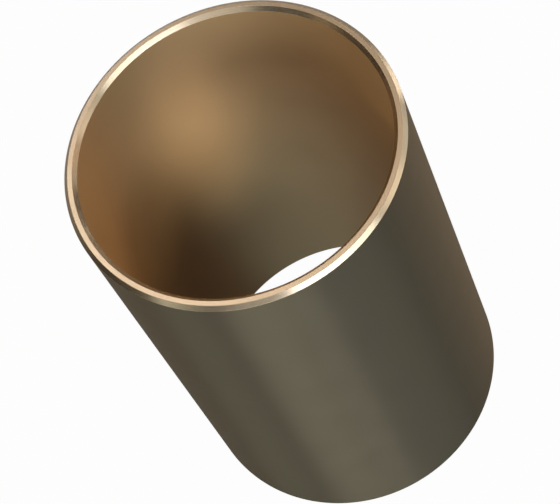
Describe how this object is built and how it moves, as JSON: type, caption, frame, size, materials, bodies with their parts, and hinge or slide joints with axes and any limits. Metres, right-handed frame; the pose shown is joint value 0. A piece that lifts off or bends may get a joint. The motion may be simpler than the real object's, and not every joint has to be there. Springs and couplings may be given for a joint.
{
  "type": "sleeve bearing",
  "caption": "Thin-walled plain bronze sleeve bearing with a straight bore and chamfered ends, pressed into a housing to carry a turning shaft.",
  "frame": {"origin": "centre of the lower end face, on the bore's axis", "axes": "+Z along the bore's axis, up from the lower end face; the sleeve is round, so X and Y are free"},
  "size_m": [0.0412, 0.0412, 0.0635],
  "materials": {
    "bronze": "turned bearing bronze, dull olive brown on the outside, copper brown in the bore, bright on the end faces and chamfers"
  },
  "bodies": {
    "root": {"sleeve": "bronze"}
  },
  "joints": []
}
